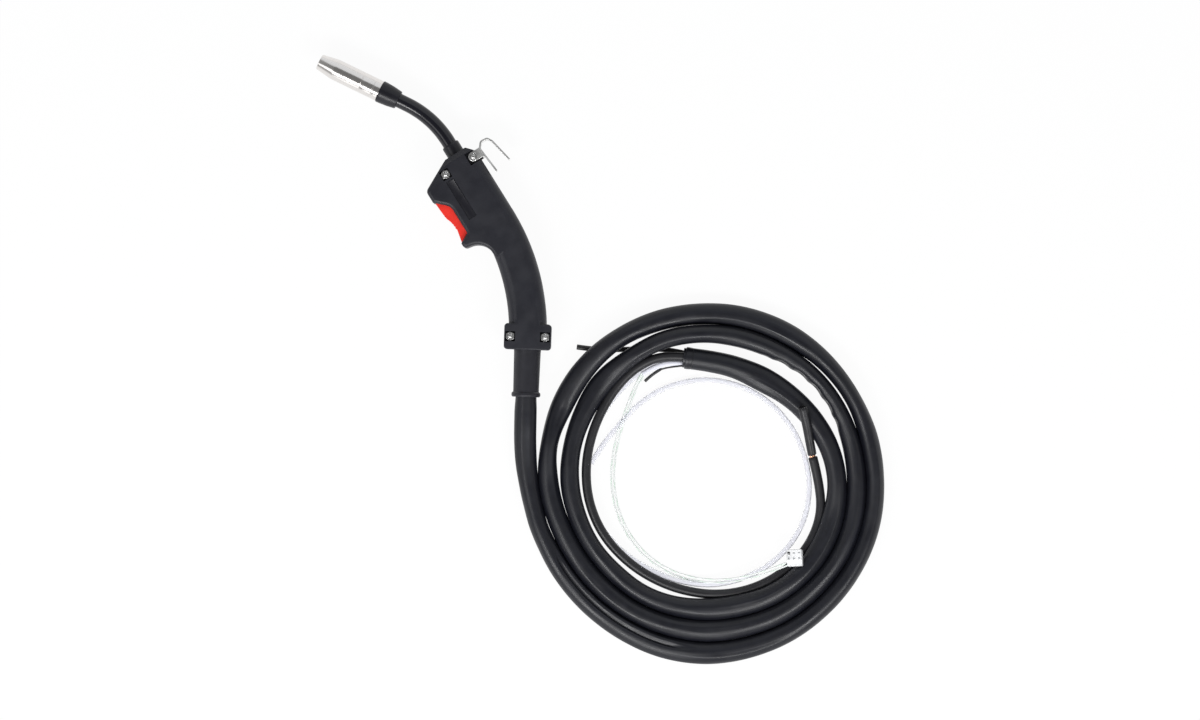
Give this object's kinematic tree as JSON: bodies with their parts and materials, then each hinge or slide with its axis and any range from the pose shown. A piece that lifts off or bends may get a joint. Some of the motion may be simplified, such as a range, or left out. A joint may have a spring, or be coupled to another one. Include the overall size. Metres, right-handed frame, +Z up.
{
  "type": "mig welding torch",
  "caption": "Hand torch for gas shielded wire welding: swan neck with gas nozzle, two-shell handle with trigger and hook, and a coiled cable with its free ends.",
  "frame": {"origin": "on the flat underside of the lower handle shell, straight below the neck's axis, 39.5 mm behind the handle's front face", "axes": "+Y forward along the handle's head, +X across to the side with the hook, +Z up from the surface that the torch lies on"},
  "size_m": [0.3086, 0.6347, 0.0341],
  "materials": {
    "nozzle_nickel": "nickel plate, satin",
    "insulator_black": "glass-filled plastic, satin",
    "neck_black": "smooth, half gloss",
    "copper": "bright copper",
    "brass": "machined",
    "spring_steel": "drawn wire",
    "zinc_steel": "zinc plated",
    "hook_steel": "galvanised strip",
    "handle_plastic": "fine moulded texture",
    "trigger_red": "satin",
    "switch_plastic": "moulded",
    "plunger_plastic": "moulded",
    "boot_rubber": "matt",
    "cable_jacket": "soft sleeve, half matt",
    "power_insulation": "matt",
    "clear_hose": "milky, clear",
    "liner_black": "smooth",
    "white_sleeve": "soft",
    "white_wire": "smooth",
    "black_wire": "smooth",
    "white_housing": "moulded"
  },
  "bodies": {
    "root": {"nozzle_insulator": "insulator_black", "neck_collar": "insulator_black", "neck_sleeve": "neck_black", "contact_tip": "copper", "copper_core": "copper", "tip_holder": "brass", "neck_tube": "brass", "neck_block": "brass", "switch_terminals": "brass", "nozzle_spring": "spring_steel", "trigger_spring": "spring_steel", "trigger_pin": "spring_steel", "handle_nuts": "zinc_steel", "handle_screws": "zinc_steel", "hook": "hook_steel", "handle_shell_upper": "handle_plastic", "handle_shell_lower": "handle_plastic", "switch_body": "switch_plastic", "cable_boot": "boot_rubber", "cable_lead": "cable_jacket", "cable_coil": "cable_jacket", "jacket_end_collar": "cable_jacket", "power_cable": "power_insulation", "power_cable_stub": "power_insulation", "inner_power_cable": "power_insulation", "gas_hose": "clear_hose", "inner_gas_hose": "clear_hose", "wire_liner": "liner_black", "inner_liner": "liner_black", "wire_sleeve": "white_sleeve", "control_wire_a": "white_wire", "control_wire_b": "white_wire", "spare_wire": "black_wire", "spare_wire_cap": "black_wire", "switch_leads": "black_wire", "wire_connector": "white_housing"},
    "trigger": {"trigger": "trigger_red"},
    "plunger": {"switch_plunger": "plunger_plastic"},
    "nozzle": {"gas_nozzle": "nozzle_nickel"}
  },
  "joints": [
    {"name": "trigger_hinge", "type": "hinge", "parent": "root", "child": "trigger", "pos_m": [-0.0285, 0.0115, 0.017], "axis": [0, 0, 1], "range_deg": [0, 6], "stiffness_Nm_per_rad": 0.3, "springref_deg": -5.73, "deforming": ["trigger_spring"]},
    {"name": "plunger_slide", "type": "slide", "parent": "root", "child": "plunger", "axis": [1, 0, 0], "range_m": [0, 0.0016]},
    {"name": "nozzle_slide", "type": "slide", "parent": "root", "child": "nozzle", "axis": [-0.5299, 0.848, 0], "range_m": [0, 0.06]}
  ],
  "couplings": [
    {"joint": "plunger_slide", "follows": "trigger_hinge", "m_per_rad": 0.0145}
  ]
}
